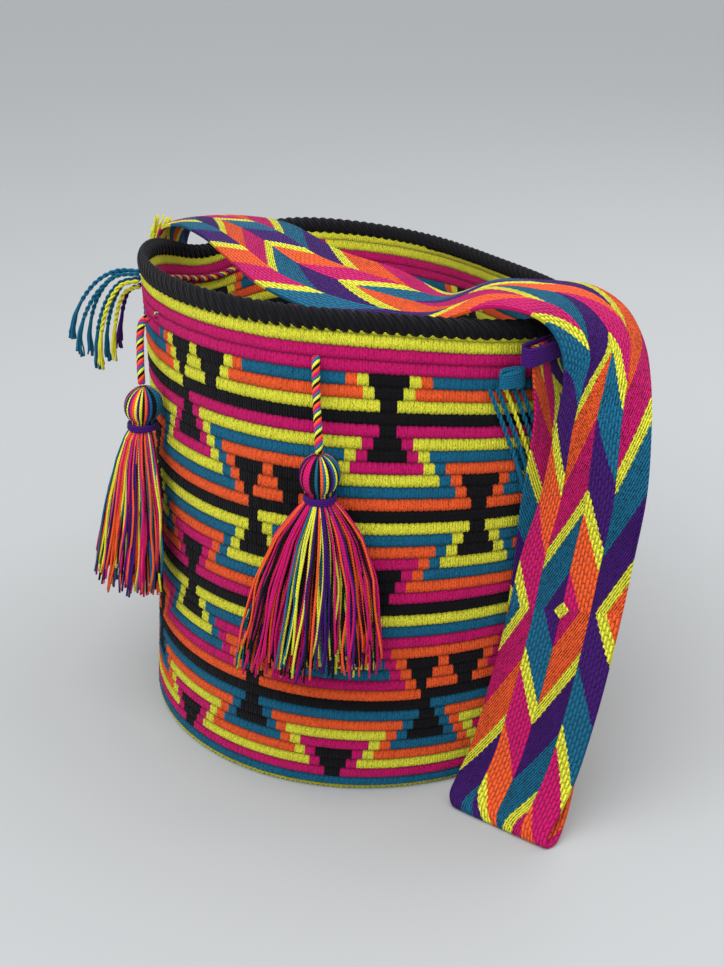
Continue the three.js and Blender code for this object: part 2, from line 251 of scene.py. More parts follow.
yarnLook = {"paintedShade": 0.3, "fuzzScale": 1800.0, "fuzzDepth": 0.00025}


def yarnFinish(name, twistLength, depth):
    # spun yarn: its two plies wind round it once for each twist length, in millimetres
    finish = Finish(name, cotton)
    run, turn = finish.along()
    wave = finish.math("SINE", (run / twistLength + turn) * fullTurn * 2)
    ply = wave * 0.5 + 0.5
    # painted shade in the groove between the two plies
    finish.paint(finish.yarnTint(), (1 - ply) * yarnLook["paintedShade"])
    finish.relief([(ply, depth), (finish.noise(yarnLook["fuzzScale"]), yarnLook["fuzzDepth"])])
    return finish.material


edgingLook = {
    "tint": (0.007, 0.006, 0.008), "strandsAlong": 2.0, "strandsRound": 6.0, "paintedShade": 0.5,
    "depth": 0.0009, "fuzzScale": 1500.0, "fuzzDepth": 0.0004,
}


def edgingFinish():
    # slanting strands of the black band
    look = edgingLook
    finish = Finish("edgingYarn", cotton)
    run, turn = finish.along()
    slant = (run * look["strandsAlong"] + turn * look["strandsRound"]) * halfTurn
    strand = finish.humps(slant)
    # painted shade between the slanting strands
    finish.paint(look["tint"], (1 - strand) * look["paintedShade"])
    fuzz = finish.noise(look["fuzzScale"])
    finish.relief([(strand, look["depth"]), (fuzz, look["fuzzDepth"])])
    return finish.material


crochetYarn = crochetFinish()
spunYarn = yarnFinish("spunYarn", 3.4, 0.00035)
cordYarn = yarnFinish("cordYarn", 2.4, 0.0003)
edgingYarn = edgingFinish()

# mesh helpers


def finished(name, mesh, material, body, slotName, replaced):
    mesh.polygons.foreach_set("use_smooth", [True] * len(mesh.polygons))
    mesh.materials.append(material)
    made = bpy.data.objects.new(name, mesh)
    scene.collection.objects.link(made)
    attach(made, body)
    if replaced:
        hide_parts(*replaced)
    print("made", name, len(mesh.polygons))
    return made


weldDistance = 1e-6  # metres


def mappedGrid(name, columns, rows, place, spread, tints=None, keep=None, outward=None):
    # a flat grid taken to its shape: place gives each corner's position from its column and row,
    # spread its two map values, tints each face's colour and keep whether the face stays.
    # outward is for an open surface: a point, and 1 or -1 for faces that look away from it or at it
    bm = bmesh.new()
    bmesh.ops.create_grid(bm, x_segments=columns, y_segments=rows, size=0.5)
    mesh = bpy.data.meshes.new(name)
    bm.to_mesh(mesh)
    bm.free()
    flat = np.empty(len(mesh.vertices) * 3)
    mesh.vertices.foreach_get("co", flat)
    column = np.rint((flat[0::3] + 0.5) * columns).astype(int)
    row = np.rint((flat[1::3] + 0.5) * rows).astype(int)
    mesh.vertices.foreach_set("co", place(column, row).ravel())
    corner = np.empty(len(mesh.loops), dtype=int)
    mesh.loops.foreach_get("vertex_index", corner)
    faceColumn = column[corner].reshape(-1, 4).min(axis=1)
    faceRow = row[corner].reshape(-1, 4).min(axis=1)
    layer = mesh.uv_layers.new(name="UVMap")
    layer.data.foreach_set("uv", np.stack(spread(column[corner], row[corner]), axis=-1).ravel())
    if tints is not None:
        stain = mesh.color_attributes.new("yarn", "FLOAT_COLOR", "CORNER")
        full = np.ones((len(faceRow), 4))
        full[:, :3] = tints(faceColumn, faceRow)
        stain.data.foreach_set("color", np.repeat(full, 4, axis=0).ravel())
    bm = bmesh.new()
    bm.from_mesh(mesh)
    if keep is not None:
        bm.faces.ensure_lookup_table()
        gone = [bm.faces[index] for index in np.nonzero(~keep(faceColumn, faceRow))[0]]
        bmesh.ops.delete(bm, geom=gone, context="FACES")
    bmesh.ops.remove_doubles(bm, verts=bm.verts, dist=weldDistance)
    if outward is None:
        rim = [edge for edge in bm.edges if edge.is_boundary]
        if rim:
            bmesh.ops.holes_fill(bm, edges=rim, sides=0)
        bmesh.ops.recalc_face_normals(bm, faces=bm.faces)
    else:
        point, sign = outward
        bmesh.ops.recalc_face_normals(bm, faces=bm.faces)
        look = sum((face.calc_center_median() - Vector(point)).dot(face.normal) for face in bm.faces)
        if look * sign < 0:
            bmesh.ops.reverse_faces(bm, faces=bm.faces)
    bm.to_mesh(mesh)
    bm.free()
    return mesh


def smoothRoute(points, times):
    # a smooth curve through listed points, evened out by their distances
    known = np.array(points, dtype=float)
    line = np.vstack([2 * known[0] - known[1], known, 2 * known[-1] - known[-2]])
    place = np.asarray(times) * (len(known) - 1)
    span = np.clip(place.astype(int), 0, len(known) - 2)
    part = (place - span)[:, None]
    a, b, c, d = (line[span + step] for step in range(4))
    gaps = []
    for start, end in ((a, b), (b, c), (c, d)):
        apart = np.linalg.norm(end - start, axis=1, keepdims=True)
        gaps.append(np.maximum(apart, 1e-6) ** 0.5)
    before, here, after = gaps
    leave = ((b - a) / before - (c - a) / (before + here) + (c - b) / here) * here
    reach = ((c - b) / here - (d - b) / (here + after) + (d - c) / after) * here
    bend = 3 * (c - b) - 2 * leave - reach
    return b + leave * part + bend * part ** 2 + (2 * (b - c) + leave + reach) * part ** 3


def runLengths(route):
    steps = np.linalg.norm(np.diff(route, axis=0), axis=1)
    return np.concatenate([[0], np.cumsum(steps)])


def evenRoute(points, spacing, dense=600):
    route = smoothRoute(points, np.linspace(0, 1, dense))
    run = runLengths(route)
    count = max(3, int(round(run[-1] / spacing)) + 1)
    stops = np.linspace(0, run[-1], count)
    return np.stack([np.interp(stops, run, route[:, axis]) for axis in range(3)], axis=1)


def sideways(route):
    # two directions across a route, from the axis that it follows least
    forward = np.gradient(route, axis=0)
    forward /= np.linalg.norm(forward, axis=1, keepdims=True)
    axis = np.eye(3)[np.argmin(np.abs(forward).max(axis=0))]
    first = np.cross(forward, axis)
    first /= np.linalg.norm(first, axis=1, keepdims=True)
    return first, np.cross(forward, first)


plySize = {"offset": 0.25, "pair": 0.25, "many": 0.24}  # shares of the cord's diameter


def twisted(points, diameter, tints, pitch, spacing, start=0.0):
    # plies wound round each other: a list of strands
    route = evenRoute(points, spacing)
    first, second = sideways(route)
    run = runLengths(route)
    strands = []
    off = diameter * plySize["offset"]
    thick = diameter * plySize["pair" if len(tints) == 2 else "many"]
    for number, tint in enumerate(tints):
        turn = (2 * np.pi * (run / pitch + number / len(tints)) + start)[:, None]
        strands.append((route + off * (np.cos(turn) * first + np.sin(turn) * second), thick, tint))
    return strands


def strandPiece(name, strands, material, body, slotName, replaced=(), sides=6):
    # many tubes made as one long grid, cut apart between the strands and closed at their ends
    centres, firsts, seconds, thicks, runs, tints, lasts = [], [], [], [], [], [], []
    for route, thick, tint in strands:
        first, second = sideways(route)
        count = len(route)
        radius = np.broadcast_to(np.asarray(thick, dtype=float), (count,))
        centres.append(route)
        firsts.append(first)
        seconds.append(second)
        thicks.append(radius)
        runs.append(runLengths(route) * 1000)
        tints.append(np.tile(yarns[tint], (count, 1)))
        lasts.append(np.arange(count) == count - 1)
    centres, firsts, seconds = (np.vstack(part) for part in (centres, firsts, seconds))
    thicks, runs, lasts = (np.concatenate(part) for part in (thicks, runs, lasts))
    tints = np.vstack(tints)

    def place(column, row):
        turn = (2 * np.pi * (column % sides) / sides)[:, None]
        across = np.cos(turn) * firsts[row] + np.sin(turn) * seconds[row]
        return centres[row] + thicks[row][:, None] * across

    mesh = mappedGrid(
        name, sides, len(centres) - 1, place,
        lambda column, row: (runs[row], column / sides),
        lambda column, row: tints[row],
        lambda column, row: ~lasts[row],
    )
    return finished(name, mesh, material, body, slotName, replaced)


# the leaning bag

bagShape = {
    "radius": 143, "wallHeight": 263.1, "foot": 2.1, "wallThickness": 4,
    "mouthDepth": 146.5, "mouthWidth": 116.7, "mouthTurn": -1.465, "mouthShift": (-25.7, 48.9),
    "mouthSlope": -0.07, "bellyPull": 1.8, "bellyShift": (4.8, -6.8), "leanPower": 1.608,
    "cornerPull": (0.462, -0.517, 0.55), "rimDip": (14.9, 2.396, 0.38),  # amount, direction, spread
}


def bell(angle, at, wide):
    away = np.arctan2(np.sin(angle - at), np.cos(angle - at))
    return np.exp(-(away / wide) ** 2)


def leaned(x, y, z):
    # takes millimetres on the straight round tube to metres on the leaning bag
    shape = bagShape
    angle = np.arctan2(y, x)
    share = np.hypot(x, y) / shape["radius"]
    up = np.maximum(0, (z - shape["foot"]) / shape["wallHeight"])
    rise = up ** shape["leanPower"]
    belly = 4 * up * np.maximum(0, 1 - up)
    amount, at, wide = shape["cornerPull"]
    pull = 1 + amount * rise * bell(angle, at, wide)
    tuck = shape["bellyPull"] * belly
    longWay = shape["radius"] + (shape["mouthDepth"] - shape["radius"]) * rise - tuck
    shortWay = shape["radius"] + (shape["mouthWidth"] - shape["radius"]) * rise - tuck
    turn = shape["mouthTurn"]
    along = share * longWay * np.cos(angle - turn) * pull
    beside = share * shortWay * np.sin(angle - turn) * pull
    newX = along * np.cos(turn) - beside * np.sin(turn)
    newY = along * np.sin(turn) + beside * np.cos(turn)
    dip, dipAt, dipWide = shape["rimDip"]
    drop = dip * up ** 3 * bell(angle, dipAt, dipWide)
    outX = newX + shape["mouthShift"][0] * rise + shape["bellyShift"][0] * belly
    outY = newY + shape["mouthShift"][1] * rise + shape["bellyShift"][1] * belly
    outZ = z + shape["mouthSlope"] * rise * (newX + newY) - drop
    return np.stack([outX, outY, outZ], axis=-1) / 1000


def onBag(angle, radius, height):
    turn = np.radians(angle)
    return leaned(radius * np.cos(turn), radius * np.sin(turn), height)


# cords: the drawstring, its two tails and the fringes

drawstring = {
    "diameter": 4.4, "level": 252, "inset": 7.6, "outset": 3.4, "end": 1.4,
    "leftAngle": -150, "middleAngle": -93, "rearMiddle": 57, "rearHalf": 68, "passing": 9,
    "plies": ("magenta", "black", "orange", "lime", "teal"), "pitch": 0.011, "spacing": 0.0018,
    "stops": 150, "pathSpacing": 0.008,
}


def drawstringRadius(angle):
    # inside the wall at the front and outside it at the rear
    away = np.abs((angle - drawstring["rearMiddle"] + 180) % 360 - 180)
    part = np.clip((drawstring["rearHalf"] - away) / drawstring["passing"] * 0.5 + 0.5, 0, 1)
    share = part * part * (3 - 2 * part)
    return bagShape["radius"] - drawstring["inset"] + share * (drawstring["inset"] + drawstring["outset"])


def declareCord(route, diameter):
    length = float(runLengths(route)[-1])


ringAngles = np.linspace(drawstring["leftAngle"], drawstring["middleAngle"] - 360, drawstring["stops"])
ringRoute = onBag(ringAngles, drawstringRadius(ringAngles), drawstring["level"])
endRadius = bagShape["radius"] + drawstring["end"]
firstEnd = onBag(drawstring["leftAngle"], endRadius, drawstring["level"])
lastEnd = onBag(drawstring["middleAngle"], endRadius, drawstring["level"])
ringRoute = np.vstack([firstEnd, ringRoute, lastEnd])
thick = drawstring["diameter"] / 1000
strands = twisted(ringRoute, thick, drawstring["plies"], drawstring["pitch"], drawstring["spacing"])
drawstringPiece = strandPiece("drawstringCord", strands, cordYarn, "bag", "twisted_cord", ["drawstring"])
ringPath = evenRoute(ringRoute, drawstring["pathSpacing"])
declareCord(ringPath, thick)

# each row of a skirt is its share of the length, its half width and its half depth
tassels = {
    "left": {
        "tail": [(-129.3, -31.2, 262.5), (-132.2, -32.6, 260.5), (-133.6, -35.2, 254), (-133.5, -40.4, 245),
                 (-132.9, -47.2, 238), (-132.6, -49.9, 232.8), (-132.6, -50.4, 228.2)],
        "head": (-132.6, -50.4, 214.6), "foot": (-144.5, -58.2, 101), "out": (-0.84, -0.54),
        "bodies": ("tail_l", "tassel_l"),
        "skirt": [(0, 6, 6), (0.07, 9, 10), (0.2, 15, 12.5), (0.45, 26, 13), (0.75, 31, 13), (1, 33, 13)],
        "shift": -2, "swell": 1.1,
    },
    "middle": {
        "tail": [(-26.2, -106.1, 262.6), (-26.3, -108.9, 260.2), (-26.3, -112.2, 252.5), (-26, -119, 239.5),
                 (-25.2, -128.2, 227.6), (-25, -131.6, 221.6), (-25, -132.2, 217.2)],
        "head": (-25, -132.2, 203.9), "foot": (-25, -153.4, 90), "out": (0, -1),
        "bodies": ("tail_m", "tassel_m"),
        "skirt": [(0, 6, 6), (0.07, 13, 11), (0.2, 24, 12), (0.45, 34, 11.5), (0.75, 40, 10.5), (1, 43, 9)],
        "shift": 8, "swell": 0.6,
    },
}
tails = {
    "diameter": 0.005, "plies": ("magenta", "orange", "black", "lime", "teal"),
    "pitch": 0.0095, "spacing": 0.0009, "pathSpacing": 0.002,
}
for side, made in tassels.items():
    route = np.array(made["tail"]) / 1000
    strands = twisted(route, tails["diameter"], tails["plies"], tails["pitch"], tails["spacing"])
    tail = strandPiece(f"tailCord_{side}", strands, cordYarn, made["bodies"][0], "twisted_cord",
                       [f"tail_{side}"])
    declareCord(evenRoute(route, tails["pathSpacing"]), tails["diameter"])

fringes = {
    "rightDiameter": 3, "leftDiameter": 3.2, "count": 5, "rootAngle": -54.2, "rootLevel": 240.6,
    "tipAngle": -48.4, "tipLevel": 176, "tipStagger": 3, "spread": 1.62, "gap": 1, "pitch": 0.009,
    "spacing": 0.0011, "pathSpacing": 0.003, "stops": 6, "limeCord": 2,
    "left": [
        [(-150.5, 80, 258), (-165, 78, 257.5), (-176, 75, 250), (-186, 72, 236), (-192, 70, 219),
         (-193, 69, 204)],
        [(-150.5, 84, 258.6), (-165, 84, 259.5), (-178, 82, 254), (-190, 79.5, 241), (-197, 78, 226),
         (-199, 77, 214)],
        [(-150.5, 88, 258), (-164, 88.5, 257.5), (-174, 88, 250), (-183, 87, 236), (-188, 86, 218),
         (-188.5, 85, 199)],
        [(-150.5, 77, 254), (-162, 74.5, 252), (-169.5, 71, 243), (-175, 68, 229), (-178, 66, 212),
         (-178, 65, 196)],
        [(-150.5, 82, 254), (-163, 80.5, 252.5), (-171.5, 78.5, 244), (-178, 76.5, 230), (-182, 75, 213),
         (-182.5, 74, 193)],
        [(-150.5, 87, 253.6), (-161, 87, 251), (-168, 86, 242), (-173.5, 84.5, 228), (-176.5, 83, 212),
         (-177, 82, 196)],
        [(-150.5, 79.5, 249.6), (-160, 78.5, 246.5), (-165, 77, 238), (-168.4, 75.5, 225),
         (-170.4, 74, 210), (-170.6, 73, 199)],
        [(-150.4, 85, 249.4), (-158.6, 85, 245.5), (-162.8, 84.5, 237), (-165.6, 84, 225),
         (-167.4, 83.4, 214), (-168, 83, 205)],
    ],
    "leftTints": ("teal", "teal", "teal", "lime", "teal", "teal", "lime", "purple"),
}
fray = {
    "length": 0.026, "overlap": 0.003, "start": 0.0005, "spread": 0.0022, "wave": 0.0004,
    "yarns": 11, "whole": 3, "radius": 0.00058,
}


def fringeCord(name, route, diameter, tint, node, slotName):
    # twisted for most of its length, then opened into loose yarn ends
    whole = evenRoute(route, 0.001)
    run = runLengths(whole)
    opened = run[-1] - fray["length"]
    held = whole[run <= opened]
    loose = whole[run >= opened - fray["overlap"]]
    pair = (tint, tint)
    strands = twisted(held, diameter, pair, fringes["pitch"], fringes["spacing"], dice.uniform(0, 6))
    first, second = sideways(loose)
    share = np.linspace(0, 1, len(loose))[:, None]
    for number in range(fray["yarns"]):
        full = number < fray["whole"]  # these reach the tip and stay near the middle
        turn = 2 * np.pi * number / fray["yarns"] + dice.uniform(-0.4, 0.4)
        least, most = (0.2, 0.5) if full else (0.5, 1)
        out = fray["spread"] * dice.uniform(least, most)
        wave = fray["wave"] * share * np.sin(share * dice.uniform(6, 16) + turn)
        across = np.cos(turn) * first + np.sin(turn) * second
        path = loose + (fray["start"] + out * share ** 1.3 + wave) * across
        kept = len(path) if full else int(len(path) * dice.uniform(0.75, 1)) + 1
        strands.append((path[:kept], fray["radius"], tint))
    piece = strandPiece(name, strands, cordYarn, "bag", slotName, [node])
    declareCord(evenRoute(route, fringes["pathSpacing"]), diameter)


slotOfTint = {"teal": "teal_yarn", "lime": "lime_yarn", "purple": "purple_yarn"}
for number in range(fringes["count"]):
    down = np.linspace(0, 1, fringes["stops"])
    angle = fringes["rootAngle"] + (fringes["tipAngle"] - fringes["rootAngle"]) * down
    tipLevel = fringes["tipLevel"] + fringes["tipStagger"] * (number % 2)
    level = fringes["rootLevel"] + (tipLevel - fringes["rootLevel"]) * down
    radius = bagShape["radius"] + fringes["rightDiameter"] / 2 + fringes["gap"]
    route = onBag(angle + fringes["spread"] * number, radius, level)
    tint = "lime" if number == fringes["limeCord"] else "teal"
    thick = fringes["rightDiameter"] / 1000
    fringeCord(f"fringeCord_right{number + 1}", route, thick, tint, f"fringe_right_{number + 1}",
               slotOfTint[tint])
for number, (points, tint) in enumerate(zip(fringes["left"], fringes["leftTints"])):
    route = np.array(points) / 1000
    thick = fringes["leftDiameter"] / 1000
    fringeCord(f"fringeCord_left{number + 1}", route, thick, tint, f"fringe_left_{number + 1}",
               slotOfTint[tint])
print("cords ready")

# crocheted wall, lining and base

crochet = {
    "stitches": 279, "rows": 42, "rowHeight": 6.5775,
    "profile": (-0.9, 0.35, -0.15, 0.55),  # how far each quarter of a row stands out, in millimetres
    "shares": (0, 0.2, 0.42, 0.7),  # where each quarter starts in the row
    "peak": (0.4, -0.25),  # stitch tops reach into the row above, the gaps between them don't
    "peakFade": (1, 0.5, 0.15, 0.15),  # how much of that each quarter of a row keeps
    "ridge": 0.25, "unevenDown": 0.12, "unevenOut": 0.1,
    "firstTurn": -1.5, "topEdge": -0.6, "bottomEdge": 41.2, "innerEdge": 39.6,  # in rows
    "levels": (0, 285, 58), "turnBefore": 2, "corner": 4, "cornerLift": 0.4, "floorGap": 0.15,
    "innerShares": (0, 0.5), "innerProfile": (-0.9, 0.5), "innerRelief": 0.5, "innerFloor": 4.5,
    "top": ("lime", "magenta", "magenta"),
    "bottom": ("teal", "lime", "lime", "lime"),
    "patternTop": 3, "patternBottom": 38, "lastShift": 166,
    "seamReach": 20, "seamMiddle": 19.5,
    "bandRows": (-1, 7, 15, 23, 31),  # first row of each patterned band
    "bandShift": (81, 98, 115, 132, 149),  # where the round closes in each band
    "spacing": 34, "seamSpacing": 41,
    "bandYarns": (
        ("black", "magenta", "teal", "orange", "lime"),
        ("black", "magenta", "lime", "teal", "orange"),
        ("black", "lime", "teal", "orange", "magenta"),
        ("black", "lime", "teal", "magenta", "orange"),
        ("black", "teal", "orange", "lime", "magenta"),
    ),
}


def steppedFigure(row, away, ground, innermost):
    # nested stepped triangles: how many colours in from the black middle
    found = np.where(ground <= 4, ground, 0)
    for ring in (4, 3, 2, 1, 0):
        inside = (np.abs(away) < row + 0.5 + 2 * ring) & (ring >= row - 3) & (ring <= innermost)
        found = np.where(inside, ring, found)
    return found


def nearest(away, spacing):
    return np.abs((away + spacing / 2) % spacing - spacing / 2)


def wallYarn(row, stitch):
    # the colour of every stitch of the wall, counted along one long spiral
    last = crochet["patternBottom"]
    tints = np.tile(np.array(yarns["black"]), (len(row), 1))
    for number, name in enumerate(crochet["top"]):
        tints[np.maximum(row, 0) == number] = yarns[name]
    for number, name in enumerate(crochet["bottom"]):
        tints[row == last + 1 + number] = yarns[name]
    patterned = (row >= crochet["patternTop"]) & (row <= last)
    tints[(row == last) & (stitch >= crochet["lastShift"])] = yarns[crochet["bottom"][0]]
    for first, shift, names in zip(crochet["bandRows"], crochet["bandShift"], crochet["bandYarns"]):
        palette = np.array([yarns[name] for name in names])
        step = crochet["spacing"]
        before = row - first  # the band's row on this side of where the round closes
        after = before + 1  # and past it, one row further down
        leftOf = steppedFigure(before, nearest(stitch - shift, step), before, before - 1)
        rightOf = steppedFigure(after - 1, stitch - shift, after, after - 1)
        inside = np.abs(stitch - shift - crochet["seamMiddle"]) < (after - 4)
        rightOf = np.where((after >= 5) & (after <= 7) & inside, 4, rightOf)
        beyond = nearest(stitch - shift - crochet["seamSpacing"], step)
        further = steppedFigure(after, beyond, after, after - 1)
        isLeft = (stitch < shift) & (before >= 0) & (before <= 7)
        isNear = (stitch >= shift) & (stitch < shift + step / 2) & (after >= 0) & (after <= 8)
        isFar = (stitch >= shift + step / 2) & (after >= 0) & (after <= 7)
        seamSide = stitch <= shift + crochet["seamReach"]
        nearPick = np.where(seamSide, rightOf, further)
        for where, picked in ((isLeft, leftOf), (isNear, nearPick), (isFar, nearPick)):
            chosen = where & patterned
            tints[chosen] = palette[picked[chosen]]
    return tints


def stitchAngles(columns, levels):
    # stitches are even along the real curve at every height, so their angles differ with height
    angles = np.radians(np.linspace(90, 90 + 360, 360 * 4 + 1))
    table = []
    for level in levels:
        ring = leaned(bagShape["radius"] * np.cos(angles), bagShape["radius"] * np.sin(angles), level)
        run = runLengths(ring)
        table.append(np.interp(np.linspace(0, 1, columns + 1), run / run[-1], angles))
    return np.array(table)


def crochetWall(name, columns, shares, profile, inner):
    # a spiral of rows that turns under at the foot; the lining runs straight down instead
    perStitch = columns // crochet["stitches"]
    perRow = len(shares)
    rows = crochet["rows"] * perRow
    levels = np.linspace(*crochet["levels"])
    table = stitchAngles(columns, levels)
    shares, profile = np.array(shares), np.array(profile)
    jitter = dice.normal(0, 1, (crochet["rows"] + 2, crochet["stitches"] + 1))
    rim = bagShape["foot"] + bagShape["wallHeight"]
    turnStart = bagShape["wallHeight"] - crochet["turnBefore"]
    corner = crochet["corner"]
    fade = np.array(crochet["peakFade"])

    def spiral(column, row):
        return crochet["firstTurn"] + row // perRow + column / columns

    def place(column, row):
        quarter = row % perRow
        middle = (column % perStitch) * 2 == perStitch
        peak = np.where(middle, crochet["peak"][0], crochet["peak"][1])
        bump = jitter[row // perRow, column // perStitch % crochet["stitches"]]
        depth = crochet["rowHeight"] * (spiral(column, row) + shares[quarter])
        depth = depth - peak * fade[quarter] - bump * crochet["unevenDown"]
        ridge = np.where(middle, crochet["ridge"], -crochet["ridge"])
        out = profile[quarter] + ridge + bump * crochet["unevenOut"]
        if inner:
            radius = bagShape["radius"] - bagShape["wallThickness"] - out * crochet["innerRelief"]
            height = np.maximum(rim - depth, crochet["innerFloor"])
        else:
            past = np.maximum(0, depth - turnStart)
            bend = np.minimum(past / corner, np.pi / 2)
            under = np.maximum(0, past - corner * np.pi / 2)
            radius = bagShape["radius"] - corner + (corner + out) * np.cos(bend) - under
            height = rim - np.minimum(depth, turnStart)
            height = height - (corner + out - crochet["cornerLift"]) * np.sin(bend)
            height = np.maximum(height, crochet["floorGap"])
        lower = np.clip(np.searchsorted(levels, height) - 1, 0, len(levels) - 2)
        part = (height - levels[lower]) / (levels[1] - levels[0])
        angle = table[lower, column] * (1 - part) + table[lower + 1, column] * part
        return leaned(radius * np.cos(angle), radius * np.sin(angle), height)

    def spread(column, row):
        extra = np.append(shares, 1.0)
        return column / perStitch, row // perRow + extra[row % perRow]

    def tints(column, row):
        return wallYarn(row // perRow - 1, column // perStitch)

    def keep(column, row):
        turn = spiral(column, row) + shares[row % perRow]
        bottom = crochet["innerEdge"] if inner else crochet["bottomEdge"]
        return (turn > crochet["topEdge"]) & (turn < bottom)

    look = ((0, 0, 0.13), -1 if inner else 1)
    mesh = mappedGrid(name, columns, rows, place, spread, tints, keep, look)
    replaced = () if inner else ("bag_body",)
    return finished(name, mesh, crochetYarn, "bag", "crocheted_wall", replaced)


crochetWall("crochetedWall", crochet["stitches"] * 2, crochet["shares"], crochet["profile"], False)
crochetWall("crochetedLining", crochet["stitches"], crochet["innerShares"], crochet["innerProfile"], True)

base = {
    "stitches": 140, "ridge": 0.45, "tint": "lime",
    "underRadius": 139.5, "underLevel": 0.2, "insideRadius": 139, "insideLevel": 4.2,
}


def crochetDisc(name, radius, level, look):
    # the flat rounds that the bag was started from
    columns = base["stitches"]
    rings = int(radius / crochet["rowHeight"]) * 2

    def place(column, row):
        angle = 2 * np.pi * (column % columns) / columns
        out = radius * row / rings
        height = level + base["ridge"] * (row % 2)
        return leaned(out * np.cos(angle), out * np.sin(angle), height)

    def spread(column, row):
        return column.astype(float), row / 2

    def tints(column, row):
        return np.tile(yarns[base["tint"]], (len(row), 1))

    mesh = mappedGrid(name, columns, rings, place, spread, tints, None, look)
    return finished(name, mesh, crochetYarn, "bag", "crocheted_wall", ())


above = (0, 0, 1)
crochetDisc("crochetedBase", base["underRadius"], base["underLevel"], (above, 1))
crochetDisc("crochetedBaseInside", base["insideRadius"], base["insideLevel"], (above, -1))
print("wall ready")

# mouth edging

edging = {
    "radius": 141.3, "level": 271.5, "halfWide": 4.0, "halfTall": 5.6,
    "lumps": 140, "perLump": 6, "around": 18, "lump": 1.1, "lumpMiddle": 0.62,
}
edgingColumns = edging["lumps"] * edging["perLump"]


def edgingPlace(column, row):
    # a fat ring of slanting lumps, two stitches to a lump
    table = stitchAngles(edgingColumns, [bagShape["foot"] + bagShape["wallHeight"]])[0]
    turn = 2 * np.pi * (row % edging["around"]) / edging["around"]
    phase = 2 * np.pi * edging["lumps"] * (column % edgingColumns) / edgingColumns
    rope = np.abs(np.cos((phase + turn) / 2))
    out = edging["lump"] * (rope - edging["lumpMiddle"])
    radius = edging["radius"] + (edging["halfWide"] + out) * np.cos(turn)
    height = edging["level"] + (edging["halfTall"] + out) * np.sin(turn)
    angle = table[column]
    return leaned(radius * np.cos(angle), radius * np.sin(angle), height)


edgingMesh = mappedGrid(
    "mouthEdging", edgingColumns, edging["around"], edgingPlace,
    lambda column, row: (column / edging["perLump"], row / edging["around"]),
)
finished("mouthEdging", edgingMesh, edgingYarn, "bag", "crocheted_edging", ["mouth_edging"])

# tassels

tassel = {
    "neck": 12.7, "headStrands": 44, "headRadius": 10.6, "headBend": (0.12, 2.45), "headStops": 12,
    "headYarnRadius": 1.15, "headFoot": (6.4, 6), "newTint": 0.93,
    "skirtStrands": 430, "strandRadius": 0.68, "skirtStops": 13, "shortest": 0.82,
    "wave": (0.6, 2.6), "wavesRound": (4, 13), "wallSide": 0.6,
    "colourGroups": 3.5, "groupSpread": 0.7, "outerGroup": 0.85, "stray": 0.3,
    "tints": ("orange", "magenta", "black", "teal", "lime", "purple", "orange", "magenta", "black"),
}


def hang(made, distance, aside, outward):
    head, foot = np.array(made["head"]), np.array(made["foot"])
    share = (distance / (head[2] - foot[2]))[:, None]
    middle = head + (foot - head) * share
    outX, outY = made["out"]
    sideVector = np.array([outY, -outX, 0])
    outVector = np.array([outX, outY, 0])
    return (middle + aside[:, None] * sideVector + outward[:, None] * outVector) / 1000


for side, made in tassels.items():
    strands = []
    length = made["head"][2] - made["foot"][2]
    tint = "orange"
    for number in range(tassel["headStrands"]):
        if dice.random() < tassel["newTint"]:
            tint = tassel["tints"][dice.integers(len(tassel["tints"]))]
        turn = 2 * np.pi * number / tassel["headStrands"]
        bend = np.linspace(*tassel["headBend"], tassel["headStops"])
        level = np.append(-tassel["headRadius"] * np.cos(bend), tassel["neck"] + 1)
        radius = tassel["headRadius"] * np.sin(bend)
        radius = np.concatenate([radius[:-1], tassel["headFoot"]])
        route = hang(made, level, radius * np.cos(turn), radius * np.sin(turn))
        strands.append((route, tassel["headYarnRadius"] / 1000, tint))
    widths = np.array(made["skirt"])
    for number in range(tassel["skirtStrands"]):
        turn = dice.uniform(0, 2 * np.pi)
        out = dice.uniform(0.05, 1) ** 0.45
        share = np.linspace(0, dice.uniform(tassel["shortest"], 1.0), tassel["skirtStops"])
        wide = np.interp(share, widths[:, 0], widths[:, 1]) * out * np.cos(turn)
        deep = np.interp(share, widths[:, 0], widths[:, 2]) * out * np.sin(turn)
        sway = dice.uniform(*tassel["wave"]) * share
        wave = sway * np.sin(share * dice.uniform(*tassel["wavesRound"]) + dice.uniform(0, 6))
        wide = wide + made["shift"] * share ** 1.4 + wave
        swell = 1 + made["swell"] * share
        deep = np.where(deep > 0, deep * swell, deep * tassel["wallSide"]) + 0.2 * wave
        level = tassel["neck"] - 1 + (length - tassel["neck"] + 1) * share
        route = hang(made, level, wide, deep)
        # strands that leave the neck together mostly share a colour
        group = int(turn * tassel["colourGroups"] + dice.normal(0, tassel["groupSpread"]))
        group += 3 if out > tassel["outerGroup"] else 0
        pick = group * 5 + int(dice.random() < tassel["stray"])
        tint = tassel["tints"][pick % len(tassel["tints"])]
        strands.append((route, tassel["strandRadius"] / 1000, tint))
    strandPiece(f"tasselYarn_{side}", strands, spunYarn, made["bodies"][1], "tassel_yarn",
                [f"tassel_{side}"], 5)

# yarn bound round the tassels, the strap ends and the fringes

# millimetres; the drawn yarn is a little fatter than its turns are apart
bindingYarn = {"thick": 1.9, "press": 0.93, "radius": 0.98, "tieRadius": 0.95}


def winding(halfWide, halfDeep, height, squareness, perTurn):
    # one yarn wound round and round a flat oval, as x, y, z in millimetres
    thick = bindingYarn["thick"]
    turns = height / (thick * bindingYarn["press"])
    count = int(turns * perTurn)
    angle = np.linspace(0, 2 * np.pi * turns, count)
    power = 2 / squareness
    x = halfWide * np.sign(np.cos(angle)) * np.abs(np.cos(angle)) ** power
    y = halfDeep * np.sign(np.sin(angle)) * np.abs(np.sin(angle)) ** power
    z = np.linspace(thick / 2, height - thick / 2, count)
    return np.stack([x, y, z], axis=1)


